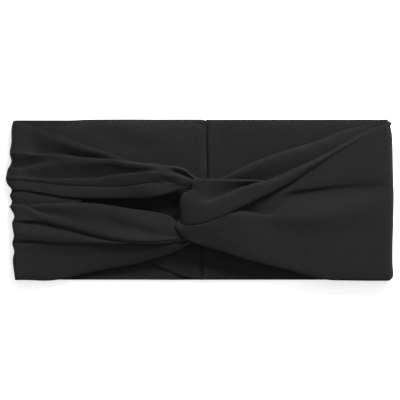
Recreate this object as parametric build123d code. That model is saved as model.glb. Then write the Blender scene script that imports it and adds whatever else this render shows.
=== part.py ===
from build123d import *
import os

# A turban-twist headband lying flat: two jersey tubes, each folded in half, hooked through each
# other at the front and sewn together at the centre of the back. +X runs along the band, +Y
# towards the forehead edge, +Z up out of the surface that it lies on.

# Driving dimensions, in millimetres.
BAND_LENGTH = 240.0          # side fold to side fold
BAND_WIDTH = 99.0            # forehead edge to hairline edge of a flattened tube
TUBE_THICKNESS = 1.2         # a flattened tube: two plies of jersey
TUBE_AIR = 0.8               # loft between two flattened tubes that lie on each other
HEAD_SLOT = 4.8              # clear height for the head between the back and the front
KNOT_TOP = 19.0              # highest point, the front arm of the right loop over the knot
CLEAR = 0.1                  # soft pieces stay this far apart

# The centre-back seam leans a little, so it has one place at each edge of the band.
SEAM_X_AT_FOREHEAD = 4.8
SEAM_X_AT_HAIRLINE = 1.2
SEAM_GROOVE = 1.0            # width of the groove that the seam pulls into the back
SEAM_THREAD_WIDTH = 0.6
SEAM_ALLOWANCE = 6.0         # turned to the left, between the two tubes of the back
CLOSING_SEAM_WIDTH = 4.0     # overlocked edge that closes each tube lengthwise
CLOSING_SEAM_INSET = 5.0     # from the hairline edge of the band

# Worked out from the driving dimensions.
HALF_LENGTH = BAND_LENGTH / 2
HALF_WIDTH = BAND_WIDTH / 2
STACK = 2 * TUBE_THICKNESS + TUBE_AIR
FRONT_LOW = STACK + HEAD_SLOT
SIDE_HEIGHT = FRONT_LOW + STACK
FOLD_RADIUS = SIDE_HEIGHT / 2
FOLD_X = HALF_LENGTH - FOLD_RADIUS
INNER_TUBE_LOW = TUBE_THICKNESS + TUBE_AIR
SEAM_STRIP = TUBE_AIR - 2 * CLEAR

# The knot's layers, from the lowest up: the right loop's back arm, the left loop's bend and the
# right loop's front arm.
UNDER_ARM_TOP = 10.6
BEND_TOP = 14.8
BEND_LEFT = -4.0
BEND_RIGHT = 9.0
RIGHT_BEND_LEFT = -12.5


def seam_x(y):
    """Where the centre-back seam lies at one distance across the band."""
    share = (y + HALF_WIDTH) / BAND_WIDTH
    return SEAM_X_AT_HAIRLINE + share * (SEAM_X_AT_FOREHEAD - SEAM_X_AT_HAIRLINE)


def seam_strip(left, right, z_low, height, inset=0.0):
    """A strip that follows the seam, from left to right of it, inset from the band's edges."""
    low, high = -HALF_WIDTH + inset, HALF_WIDTH - inset
    outline = Polygon(
        (seam_x(low) + left, low),
        (seam_x(low) + right, low),
        (seam_x(high) + right, high),
        (seam_x(high) + left, high),
        align=None,
    )
    return extrude(Pos(0, 0, z_low) * outline, amount=height)


def back_panel(side, z_low):
    """One flattened tube of the back, from the seam groove to the side fold."""
    seam_edge = side * SEAM_GROOVE / 2
    outline = Polygon(
        (side * FOLD_X, -HALF_WIDTH),
        (seam_x(-HALF_WIDTH) + seam_edge, -HALF_WIDTH),
        (seam_x(HALF_WIDTH) + seam_edge, HALF_WIDTH),
        (side * FOLD_X, HALF_WIDTH),
        align=None,
    )
    panel = extrude(Pos(0, 0, z_low) * outline, amount=TUBE_THICKNESS, dir=(0, 0, 1))
    long_edges = panel.edges().filter_by(Axis.X)
    return fillet(long_edges, TUBE_THICKNESS * 0.45)


def side_fold(side, outer_radius):
    """One flattened tube turning from the back to the front round the end of the head slot."""
    ring = Circle(outer_radius) - Circle(outer_radius - TUBE_THICKNESS)
    outer_half = Pos(side * FOLD_RADIUS / 2, 0) * Rectangle(FOLD_RADIUS, 2 * FOLD_RADIUS)
    profile = Plane.XZ * (ring & outer_half)
    place = Pos(side * (FOLD_X + CLEAR / 2), 0, FOLD_RADIUS)
    return place * extrude(profile, amount=HALF_WIDTH, both=True)


def arm(sections):
    """A gathered arm of a loop, through sections (x, y low, y high, z low, z high)."""
    profiles = []
    for x, y_low, y_high, z_low, z_high in sections:
        middle = ((y_low + y_high) / 2, (z_low + z_high) / 2)
        plane = Plane(origin=(x, *middle), x_dir=(0, 1, 0), z_dir=(1, 0, 0))
        height = z_high - z_low
        profiles.append(plane * RectangleRounded(y_high - y_low, height, height * 0.4))
    return loft(profiles, ruled=True)


def closing_seam(side):
    """The overlocked edges that close one tube, between the two layers of the back."""
    allowance = SEAM_ALLOWANCE if side < 0 else 0.0
    y_low = -HALF_WIDTH + CLOSING_SEAM_INSET
    start = seam_x(y_low) + side * (SEAM_GROOVE + allowance + CLOSING_SEAM_WIDTH / 2)
    end = side * (FOLD_X - CLEAR)
    length = abs(end - start)
    strip = Box(length, CLOSING_SEAM_WIDTH, SEAM_STRIP)
    z_middle = TUBE_THICKNESS + TUBE_AIR / 2
    return Pos((start + end) / 2, y_low + CLOSING_SEAM_WIDTH / 2, z_middle) * strip


def left_upper_arm():
    """Forehead arm of the left loop, narrowing from the side fold to the knot."""
    return arm([
        (-FOLD_X + CLEAR, 0.3, 48.8, FRONT_LOW, SIDE_HEIGHT),
        (-74.0, 1.2, 35.4, FRONT_LOW, 12.4),
        (-30.0, 2.0, 22.6, FRONT_LOW, 14.0),
        (-14.0, 5.9, 20.6, FRONT_LOW, 14.8),
        (BEND_LEFT, 6.3, 15.4, FRONT_LOW, 14.8),
    ])


def left_lower_arm():
    """Hairline arm of the left loop, narrowing from the side fold to the knot."""
    return arm([
        (-FOLD_X + CLEAR, -48.8, -0.3, FRONT_LOW, SIDE_HEIGHT),
        (-74.0, -45.8, -1.2, FRONT_LOW, 12.4),
        (-30.0, -36.5, -6.6, FRONT_LOW, 13.6),
        (-14.0, -30.5, -13.6, FRONT_LOW, 14.4),
        (BEND_LEFT, -26.0, -14.2, FRONT_LOW, 14.8),
    ])


def left_bend():
    """Where the left loop turns round, inside the right loop."""
    z_low = UNDER_ARM_TOP + 2 * CLEAR
    middle = (BEND_LEFT + BEND_RIGHT) / 2
    return arm([
        (BEND_LEFT + CLEAR, -26.0, 15.4, z_low, BEND_TOP - CLEAR),
        (middle, -24.0, 13.0, z_low, BEND_TOP - CLEAR),
        (BEND_RIGHT, -17.0, 7.0, z_low, BEND_TOP - CLEAR),
    ])


def right_front_arm():
    """Upper arm of the right loop: a smooth panel rising from the side fold over the knot."""
    return arm([
        (FOLD_X, -48.9, 48.4, SIDE_HEIGHT - TUBE_THICKNESS, SIDE_HEIGHT),
        (60.0, -45.5, 21.0, SIDE_HEIGHT - 0.6, 14.0),
        (14.0, -32.0, 13.2, BEND_TOP + CLEAR, KNOT_TOP),
        (RIGHT_BEND_LEFT, -25.0, 5.6, BEND_TOP + CLEAR, 18.2),
    ])


def right_back_arm():
    """Lower arm of the right loop, between the head slot and the front arm."""
    return arm([
        (FOLD_X, -48.4, 48.9, FRONT_LOW, FRONT_LOW + TUBE_THICKNESS),
        (60.0, -40.0, 32.0, FRONT_LOW, FRONT_LOW + 1.9),
        (14.0, -22.0, 14.6, FRONT_LOW, UNDER_ARM_TOP),
        (BEND_LEFT - 1.0, -13.4, 5.6, FRONT_LOW, UNDER_ARM_TOP),
    ])


def right_bend():
    """Where the right loop dives between the left loop's arms and turns back under itself."""
    right = BEND_LEFT - 1.0 - CLEAR
    return arm([
        (RIGHT_BEND_LEFT, -12.4, 5.2, FRONT_LOW, BEND_TOP),
        (right, -13.2, 5.6, FRONT_LOW, BEND_TOP),
    ])


def seam_allowance():
    """The sewn-off ends of the four arms, laid to the left inside the back."""
    left = -SEAM_GROOVE - SEAM_ALLOWANCE
    return seam_strip(left, -SEAM_GROOVE, TUBE_THICKNESS + CLEAR, SEAM_STRIP, inset=1.5)


def seam_thread():
    """The line of stitches that joins the four ends, down in the groove."""
    half = SEAM_THREAD_WIDTH / 2
    return seam_strip(-half, half, 2 * CLEAR, STACK - 4 * CLEAR, inset=0.5)


NODES = {
    "left_loop_upper_arm": left_upper_arm(),
    "left_loop_lower_arm": left_lower_arm(),
    "left_loop_bend": left_bend(),
    "right_loop_front_arm": right_front_arm(),
    "right_loop_back_arm": right_back_arm(),
    "right_loop_bend": right_bend(),
    "centre_back_seam_allowance": seam_allowance(),
    "centre_back_seam_thread": seam_thread(),
}
for loop, side in (("left", -1), ("right", 1)):
    NODES[f"{loop}_loop_back_outer"] = back_panel(side, 0.0)
    NODES[f"{loop}_loop_back_inner"] = back_panel(side, INNER_TUBE_LOW)
    NODES[f"{loop}_loop_side_fold_outer"] = side_fold(side, FOLD_RADIUS)
    NODES[f"{loop}_loop_side_fold_inner"] = side_fold(side, FOLD_RADIUS - INNER_TUBE_LOW)
    NODES[f"{loop}_loop_closing_seam"] = closing_seam(side)

os.makedirs("parts", exist_ok=True)
for node, solid in NODES.items():
    export_step(solid, f"parts/{node}.step")
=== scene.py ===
"""A turban-twist sports headband, lying flat: two looped jersey tubes hooked through each other."""

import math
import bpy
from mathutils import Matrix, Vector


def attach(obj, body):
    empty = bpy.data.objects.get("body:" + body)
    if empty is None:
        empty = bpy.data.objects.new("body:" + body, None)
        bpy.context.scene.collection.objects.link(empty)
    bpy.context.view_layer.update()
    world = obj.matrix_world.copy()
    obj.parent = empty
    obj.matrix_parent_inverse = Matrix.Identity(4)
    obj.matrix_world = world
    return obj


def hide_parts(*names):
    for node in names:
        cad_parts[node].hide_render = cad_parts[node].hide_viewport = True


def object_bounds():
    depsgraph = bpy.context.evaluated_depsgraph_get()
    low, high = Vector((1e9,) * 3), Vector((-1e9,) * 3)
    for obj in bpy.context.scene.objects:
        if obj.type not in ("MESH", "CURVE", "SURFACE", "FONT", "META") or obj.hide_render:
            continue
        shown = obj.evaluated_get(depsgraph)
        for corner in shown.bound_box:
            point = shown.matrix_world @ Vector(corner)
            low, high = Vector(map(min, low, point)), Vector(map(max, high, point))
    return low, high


bl_info = {
    "name": "Twist Headband",
    "version": (1, 0, 0),
    "blender": (4, 5, 0),
    "location": "3D View > Sidebar > Headband",
    "description": "Builds a gathered twist headband in black stretch jersey",
    "category": "Add Mesh",
}

import bmesh
import bpy
import numpy as np
from mathutils import Matrix, Vector, noise

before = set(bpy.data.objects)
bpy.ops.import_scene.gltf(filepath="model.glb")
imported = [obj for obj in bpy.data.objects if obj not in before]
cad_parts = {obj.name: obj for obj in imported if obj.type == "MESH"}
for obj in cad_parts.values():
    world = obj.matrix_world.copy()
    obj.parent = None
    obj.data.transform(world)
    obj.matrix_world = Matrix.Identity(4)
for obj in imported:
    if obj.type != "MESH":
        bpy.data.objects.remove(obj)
CAD_LOW, CAD_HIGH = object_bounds()
BODY = "root"
MM = 0.001

# Every fold line below is in millimetres in the band's own frame: x along the band, y across it
# towards the forehead edge, z up. The lines of an arm run from one edge of its tube to the other,
# and each holds the points (x, y, z) that the cloth's outer side passes through.

LEFT_UPPER_ARM = (
    ("forehead_edge", (
        (-112.9, 48.1, 7.9), (-108.0, 47.4, 7.3), (-100.0, 44.2, 7.0), (-84.6, 39.3, 7.0),
        (-73.5, 35.1, 6.8), (-62.5, 31.6, 6.5), (-52.0, 27.8, 7.0), (-46.5, 25.6, 8.2),
        (-39.1, 23.5, 9.2), (-28.6, 22.4, 10.2), (-19.4, 21.0, 11.6), (-13.2, 20.8, 12.1),
        (-8.3, 19.1, 12.0), (-5.2, 16.5, 11.8), (-1.5, 13.8, 11.6),
    )),
    ("forehead_ridge", (
        (-112.9, 46.3, 8.1), (-108.0, 45.0, 7.5), (-100.0, 40.0, 7.2), (-84.6, 35.1, 7.2),
        (-73.5, 31.4, 7.0), (-62.5, 29.2, 6.8), (-52.0, 26.6, 7.3), (-46.5, 24.7, 8.4),
        (-39.1, 23.1, 9.6), (-28.6, 22.1, 10.4), (-19.4, 20.8, 11.7), (-13.2, 20.4, 12.2),
        (-8.3, 18.5, 12.1), (-5.2, 15.9, 11.9), (-1.5, 13.4, 11.8),
    )),
    ("forehead_valley", (
        (-112.9, 30.5, 8.4), (-108.0, 29.8, 7.6), (-100.0, 27.9, 5.3), (-92.0, 27.9, 4.5),
        (-84.6, 27.6, 4.2), (-73.5, 26.2, 4.2), (-62.5, 25.3, 5.0), (-52.0, 24.4, 7.7),
        (-46.5, 23.2, 9.3), (-39.1, 22.8, 10.5), (-28.6, 21.7, 11.5), (-19.4, 20.5, 12.8),
        (-13.2, 20.0, 13.3), (-8.3, 18.0, 13.2), (-5.2, 15.4, 12.8), (-1.5, 12.9, 12.2),
    )),
    ("first_ridge", (
        (-112.9, 28.7, 8.7), (-108.0, 28.5, 8.0), (-100.0, 28.1, 7.2), (-92.0, 28.1, 6.6),
        (-84.6, 27.8, 6.8), (-73.5, 26.3, 7.0), (-62.5, 25.5, 7.8), (-52.0, 24.6, 9.0),
        (-46.5, 23.4, 10.1), (-39.1, 22.2, 11.2), (-28.6, 20.9, 12.1), (-19.4, 19.9, 13.4),
        (-13.2, 19.4, 13.9), (-8.3, 17.5, 13.7), (-5.2, 14.9, 13.2), (-1.5, 12.3, 12.4),
    )),
    ("wedge_valley", (
        (-112.9, 20.1, 5.3), (-108.0, 20.7, 4.5), (-104.3, 21.7, 4.4), (-100.0, 22.9, 5.0),
        (-92.0, 24.3, 6.1), (-84.6, 23.0, 7.0), (-73.5, 22.5, 7.3), (-62.5, 22.6, 8.0),
        (-52.0, 22.3, 9.0), (-46.5, 20.8, 9.8), (-39.1, 19.7, 10.8), (-28.6, 20.3, 12.3),
        (-19.4, 19.2, 13.3), (-13.2, 18.6, 13.4), (-8.3, 16.7, 13.1), (-5.2, 14.4, 12.9),
        (-1.5, 11.7, 12.4),
    )),
    ("wedge_ridge", (
        (-112.9, 18.6, 5.7), (-108.0, 18.8, 5.0), (-100.0, 20.3, 5.7), (-92.0, 20.6, 6.4),
        (-84.6, 19.9, 6.2), (-73.5, 19.7, 6.2), (-62.5, 19.9, 6.5), (-52.0, 20.2, 7.7),
        (-46.5, 19.1, 8.6), (-39.1, 18.5, 9.8), (-32.3, 18.8, 11.2), (-25.5, 19.3, 13.0),
        (-19.4, 18.5, 13.5), (-13.2, 17.9, 12.6), (-8.3, 16.1, 12.2), (-5.2, 13.9, 12.4),
        (-1.5, 11.1, 12.4),
    )),
    ("second_valley", (
        (-112.9, 15.1, 5.9), (-108.0, 14.6, 5.1), (-100.0, 13.7, 4.7), (-92.0, 12.9, 4.4),
        (-84.6, 12.7, 4.1), (-73.5, 12.9, 4.1), (-62.5, 13.2, 4.4), (-52.0, 15.1, 6.4),
        (-46.5, 15.8, 7.9), (-40.9, 16.2, 9.1), (-32.3, 17.0, 11.1), (-25.5, 18.3, 13.2),
        (-19.4, 17.1, 13.7), (-13.2, 17.2, 11.6), (-8.3, 15.3, 11.2), (-5.2, 13.3, 12.4),
        (-1.5, 10.5, 12.4),
    )),
    ("second_ridge", (
        (-112.9, 14.2, 6.2), (-108.0, 13.7, 5.4), (-100.0, 13.4, 5.2), (-92.0, 13.1, 5.0),
        (-84.6, 12.9, 5.2), (-73.5, 13.1, 5.6), (-62.5, 13.4, 6.2), (-52.0, 15.3, 8.3),
        (-46.5, 15.9, 9.5), (-40.9, 16.4, 10.6), (-32.3, 17.2, 12.3), (-25.5, 16.4, 13.8),
        (-19.4, 15.0, 14.2), (-13.2, 15.0, 14.0), (-8.3, 13.2, 13.4), (-5.2, 12.1, 12.8),
        (-1.5, 9.8, 12.4),
    )),
    ("second_lip", (
        (-112.9, 13.2, 6.4), (-108.0, 12.8, 5.6), (-103.3, 12.2, 5.3), (-98.6, 11.7, 5.2),
        (-92.0, 11.0, 5.1), (-84.6, 10.2, 5.2), (-73.5, 9.5, 5.6), (-62.5, 9.2, 6.2), (-52.0, 9.1, 7.7),
        (-40.9, 9.8, 9.9), (-32.3, 11.1, 11.4), (-25.5, 11.3, 12.4), (-18.2, 10.7, 12.2),
        (-12.6, 10.3, 13.4), (-8.3, 9.6, 13.0), (-5.2, 9.6, 12.6), (-1.5, 9.0, 12.0),
    )),
    ("second_crease", (
        (-112.9, 12.2, 5.9), (-108.0, 11.7, 5.0), (-103.3, 11.1, 4.8), (-98.6, 10.6, 4.7),
        (-92.0, 9.8, 4.6), (-84.6, 9.1, 4.7), (-73.5, 8.4, 5.1), (-62.5, 8.1, 5.7), (-52.0, 8.1, 7.2),
        (-40.9, 9.0, 9.4), (-32.3, 10.3, 11.0), (-25.5, 10.6, 12.0), (-18.2, 10.0, 12.6),
        (-12.6, 9.1, 12.8), (-8.3, 8.4, 12.4), (-5.2, 8.6, 12.2), (-1.5, 8.2, 11.8),
    )),
    ("third_ridge", (
        (-112.9, 10.8, 6.0), (-108.0, 10.5, 5.2), (-100.0, 9.5, 5.0), (-92.0, 8.7, 4.8),
        (-84.6, 8.0, 4.9), (-73.5, 7.3, 5.4), (-62.5, 7.0, 6.1), (-52.0, 7.0, 7.5), (-40.9, 7.8, 9.8),
        (-29.8, 9.0, 12.0), (-19.4, 8.9, 12.6), (-12.6, 7.9, 12.6), (-8.3, 7.4, 12.1),
        (-5.2, 7.6, 11.9), (-1.5, 7.8, 11.6),
    )),
    ("gap_edge", (
        (-112.9, 6.2, 6.1), (-108.0, 5.9, 5.3), (-100.0, 4.6, 5.0), (-92.0, 3.3, 4.8),
        (-84.6, 2.1, 5.0), (-73.5, 1.1, 5.1), (-62.5, 0.9, 5.9), (-48.9, 0.6, 7.3), (-37.8, 0.7, 9.1),
        (-29.8, 1.5, 11.2), (-24.3, 2.5, 12.3), (-19.4, 3.8, 12.7), (-15.7, 5.3, 12.5),
        (-12.0, 6.2, 12.0), (-7.1, 6.4, 11.4), (-1.5, 6.5, 10.6),
    )),
    ("gap_tuck", (
        (-112.9, 5.9, 5.2), (-108.0, 6.0, 4.6), (-100.0, 4.7, 4.0), (-92.0, 3.4, 3.9),
        (-84.6, 2.2, 4.0), (-73.5, 1.4, 4.2), (-62.5, 1.5, 4.6), (-48.9, 3.1, 5.0), (-37.8, 3.4, 5.7),
        (-29.8, 4.0, 6.6), (-24.3, 4.9, 7.6), (-19.4, 5.8, 8.2), (-12.0, 7.7, 8.2), (-1.5, 8.0, 9.0),
    )),
    ("web", (
        (-112.9, 1.8, 5.5), (-108.0, 1.6, 5.0), (-100.0, 1.1, 4.5), (-92.0, 0.4, 4.3),
        (-84.6, 0.0, 4.2), (-73.5, 2.7, 4.0), (-62.5, 5.5, 4.3), (-52.0, 8.0, 4.5), (-40.9, 8.0, 5.0),
        (-29.8, 9.8, 6.4), (-19.4, 11.1, 8.0), (-12.0, 11.7, 8.6), (-1.5, 10.5, 9.2),
    )),
    ("web_end", (
        (-112.9, -4.3, 4.6), (-108.0, -5.5, 4.4), (-100.0, -4.9, 4.3), (-92.0, -4.6, 4.3),
        (-84.6, -3.7, 4.2), (-73.5, -1.2, 4.1), (-62.5, 7.4, 4.3), (-55.1, 10.5, 4.4),
        (-48.9, 11.7, 4.6), (-37.8, 11.7, 5.3), (-29.8, 12.9, 6.4), (-19.4, 14.2, 7.8),
        (-12.0, 14.2, 8.4), (-1.5, 12.3, 9.0),
    )),
)

LEFT_LOWER_ARM = (
    ("hairline_edge", (
        (-112.9, -49.4, 6.2), (-108.0, -49.4, 5.2), (-92.0, -49.7, 4.2), (-84.0, -48.7, 3.9),
        (-73.5, -46.1, 3.5), (-62.5, -43.6, 3.6), (-52.0, -41.7, 4.2), (-39.7, -39.4, 4.9),
        (-31.7, -37.2, 5.6), (-24.9, -35.2, 6.6), (-19.4, -33.5, 7.2), (-14.5, -31.3, 7.9),
        (-9.5, -28.9, 8.2), (-5.8, -26.6, 8.0), (-1.5, -24.9, 7.6),
    )),
    ("hairline_ridge", (
        (-112.9, -47.8, 7.0), (-108.0, -47.9, 5.9), (-92.0, -48.3, 4.8), (-84.0, -47.3, 4.6),
        (-73.5, -44.7, 4.4), (-62.5, -42.3, 4.7), (-52.0, -40.3, 5.3), (-39.7, -37.9, 6.2),
        (-31.7, -35.7, 7.1), (-24.9, -33.7, 8.2), (-19.4, -32.1, 8.8), (-14.5, -30.1, 9.4),
        (-9.5, -27.9, 9.6), (-5.8, -26.0, 9.1), (-1.5, -24.5, 8.4),
    )),
    ("bottom_ridge", (
        (-112.9, -36.0, 7.3), (-108.0, -35.6, 6.1), (-100.0, -35.7, 5.4), (-84.6, -36.0, 4.9),
        (-73.5, -35.7, 5.0), (-62.5, -34.8, 5.8), (-52.0, -34.0, 6.7), (-39.7, -32.9, 7.8),
        (-31.7, -31.9, 8.8), (-24.9, -30.9, 9.5), (-19.4, -30.2, 10.0), (-14.5, -28.9, 10.2),
        (-9.5, -27.3, 10.2), (-5.8, -25.6, 9.6), (-1.5, -24.0, 8.6),
    )),
    ("bottom_fall", (
        (-112.9, -32.4, 7.2), (-108.0, -31.8, 6.2), (-100.0, -31.5, 5.7), (-84.6, -31.6, 5.4),
        (-73.5, -31.8, 5.8), (-62.5, -31.6, 6.3), (-52.0, -31.4, 7.1), (-39.7, -30.6, 8.2),
        (-31.7, -30.2, 9.1), (-24.9, -29.8, 9.9), (-19.4, -29.2, 10.4), (-14.5, -27.9, 10.4),
        (-9.5, -26.7, 10.1), (-5.8, -25.3, 9.5), (-1.5, -23.8, 8.6),
    )),
    ("bottom_valley", (
        (-112.9, -28.8, 7.2), (-108.0, -28.2, 6.5), (-100.0, -28.1, 6.2), (-84.6, -28.4, 6.3),
        (-73.5, -28.4, 6.8), (-62.5, -28.6, 7.3), (-52.0, -28.4, 8.1), (-39.7, -28.4, 9.1),
        (-31.7, -28.7, 9.8), (-24.9, -28.7, 10.3), (-19.4, -28.4, 10.6), (-14.5, -27.4, 10.5),
        (-9.5, -26.3, 10.0), (-5.8, -25.1, 9.5), (-1.5, -23.6, 8.6),
    )),
    ("bottom_tuck", (
        (-112.9, -25.7, 7.2), (-108.0, -25.5, 6.3), (-100.0, -25.7, 6.4), (-84.6, -26.6, 6.7),
        (-73.5, -26.9, 7.3), (-62.5, -27.0, 7.6), (-52.0, -27.0, 8.7), (-39.7, -26.9, 9.4),
        (-31.7, -27.1, 10.0), (-24.9, -27.1, 10.3), (-19.4, -26.6, 10.5), (-14.5, -25.6, 10.3),
        (-9.5, -25.0, 9.9), (-5.8, -24.4, 9.5), (-1.5, -23.4, 8.7),
    )),
    ("ledge_edge", (
        (-112.9, -24.9, 8.0), (-108.0, -24.7, 7.7), (-100.0, -25.2, 7.4), (-92.0, -25.8, 7.5),
        (-84.6, -26.3, 7.5), (-73.5, -26.5, 8.0), (-62.5, -26.7, 8.7), (-52.0, -26.7, 9.3),
        (-39.7, -26.6, 10.3), (-31.7, -26.9, 10.9), (-24.9, -26.8, 11.4), (-19.4, -26.3, 11.6),
        (-14.5, -25.5, 11.2), (-9.5, -24.9, 10.7), (-5.8, -24.2, 10.0), (-1.5, -23.1, 9.0),
    )),
    ("ledge_flat", (
        (-112.9, -19.7, 8.5), (-108.0, -20.0, 8.1), (-100.0, -20.7, 8.0), (-92.0, -21.5, 8.0),
        (-84.6, -22.5, 8.2), (-73.5, -24.1, 8.6), (-62.5, -25.6, 9.3), (-52.0, -26.5, 10.2),
        (-39.7, -26.6, 11.0), (-31.7, -26.7, 11.5), (-24.9, -26.5, 12.0), (-19.4, -25.8, 12.3),
        (-14.5, -25.0, 12.0), (-9.5, -24.1, 11.4), (-5.8, -23.8, 10.5), (-1.5, -22.5, 9.2),
    )),
    ("ledge_tuck", (
        (-112.9, -13.9, 7.6), (-108.0, -13.7, 6.4), (-100.0, -13.7, 6.0), (-94.5, -14.4, 6.1),
        (-89.5, -15.9, 6.5), (-84.6, -17.5, 7.1), (-73.5, -20.4, 7.6), (-62.5, -23.3, 8.4),
        (-52.0, -25.4, 9.8), (-39.7, -26.3, 11.4), (-31.7, -26.3, 12.0), (-24.9, -26.0, 12.5),
        (-19.4, -25.4, 12.6), (-14.5, -24.5, 12.4), (-9.5, -23.8, 11.7), (-5.8, -23.4, 10.7),
        (-1.5, -22.2, 9.4),
    )),
    ("band_edge", (
        (-112.9, -12.8, 8.0), (-108.0, -12.6, 7.8), (-100.0, -12.9, 7.5), (-95.7, -13.7, 7.4),
        (-92.0, -14.8, 7.5), (-84.6, -17.0, 7.6), (-73.5, -20.1, 8.0), (-62.5, -23.0, 8.7),
        (-52.0, -25.2, 9.7), (-39.7, -26.0, 11.0), (-31.7, -26.1, 11.5), (-24.9, -25.7, 12.1),
        (-19.4, -25.0, 12.5), (-14.5, -24.1, 12.3), (-9.5, -23.3, 11.8), (-5.8, -23.0, 10.8),
        (-1.5, -21.8, 9.4),
    )),
    ("band_crease", (
        (-112.9, -9.0, 7.8), (-108.0, -10.3, 7.3), (-103.7, -10.8, 7.4), (-100.0, -11.2, 7.9),
        (-95.7, -11.9, 8.2), (-92.0, -13.2, 8.4), (-84.6, -15.4, 8.6), (-73.5, -18.7, 9.0),
        (-62.5, -21.7, 9.8), (-52.0, -24.4, 10.6), (-39.7, -25.4, 11.7), (-31.7, -25.6, 12.1),
        (-24.9, -25.2, 12.6), (-19.4, -24.6, 12.9), (-14.5, -23.8, 12.7), (-9.5, -23.0, 12.0),
        (-5.8, -22.6, 11.0), (-1.5, -21.4, 9.6),
    )),
    ("band_ridge", (
        (-112.9, -4.7, 7.8), (-108.0, -5.2, 7.3), (-100.0, -8.1, 7.6), (-92.0, -10.8, 8.2),
        (-84.6, -12.8, 8.7), (-73.5, -16.6, 9.3), (-62.5, -20.0, 10.1), (-52.0, -22.8, 11.2),
        (-39.7, -24.4, 12.0), (-31.7, -24.6, 12.4), (-24.9, -24.4, 12.8), (-19.4, -23.9, 13.0),
        (-14.5, -23.3, 12.8), (-9.5, -22.7, 12.1), (-5.8, -22.2, 11.0), (-1.5, -20.9, 9.6),
    )),
    ("band_valley", (
        (-112.9, -2.3, 7.1), (-108.0, -2.8, 6.2), (-103.7, -5.3, 6.3), (-100.0, -7.1, 6.4),
        (-92.0, -8.7, 7.1), (-84.6, -10.0, 7.8), (-73.5, -11.9, 8.8), (-62.5, -14.4, 9.5),
        (-52.0, -15.6, 9.7), (-40.9, -18.2, 10.4), (-32.3, -19.8, 11.0), (-25.5, -21.0, 11.9),
        (-20.0, -21.9, 12.4), (-14.5, -22.4, 12.5), (-9.5, -22.3, 11.9), (-5.8, -21.5, 11.1),
        (-1.5, -20.3, 9.4),
    )),
    ("inner_ridge", (
        (-112.9, -3.9, 5.4), (-108.0, -4.6, 5.4), (-103.7, -4.2, 6.2), (-100.0, -3.9, 6.9),
        (-92.0, -3.7, 8.0), (-84.6, -4.0, 8.9), (-73.5, -4.3, 9.6), (-62.5, -5.5, 10.2),
        (-52.0, -9.5, 10.7), (-40.9, -12.7, 11.3), (-32.3, -15.4, 11.8), (-25.5, -17.5, 12.3),
        (-20.0, -19.1, 12.6), (-14.5, -19.2, 13.0), (-9.5, -21.4, 12.6), (-5.8, -20.7, 11.8),
        (-1.5, -19.1, 9.8),
    )),
    ("inner_edge", (
        (-112.9, -3.4, 4.9), (-108.0, -3.6, 4.9), (-103.7, -3.0, 5.6), (-98.8, -2.3, 6.2),
        (-92.0, -2.0, 7.0), (-84.6, -1.8, 7.9), (-73.5, -1.7, 9.0), (-62.5, -2.2, 9.7),
        (-52.0, -3.7, 10.2), (-40.9, -5.5, 10.2), (-32.3, -6.6, 10.4), (-26.8, -7.5, 10.8),
        (-21.2, -8.7, 11.1), (-18.2, -9.8, 11.5), (-15.7, -11.6, 11.6), (-12.0, -15.7, 11.4),
        (-7.1, -19.1, 11.3), (-1.5, -17.8, 10.0),
    )),
)

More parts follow.
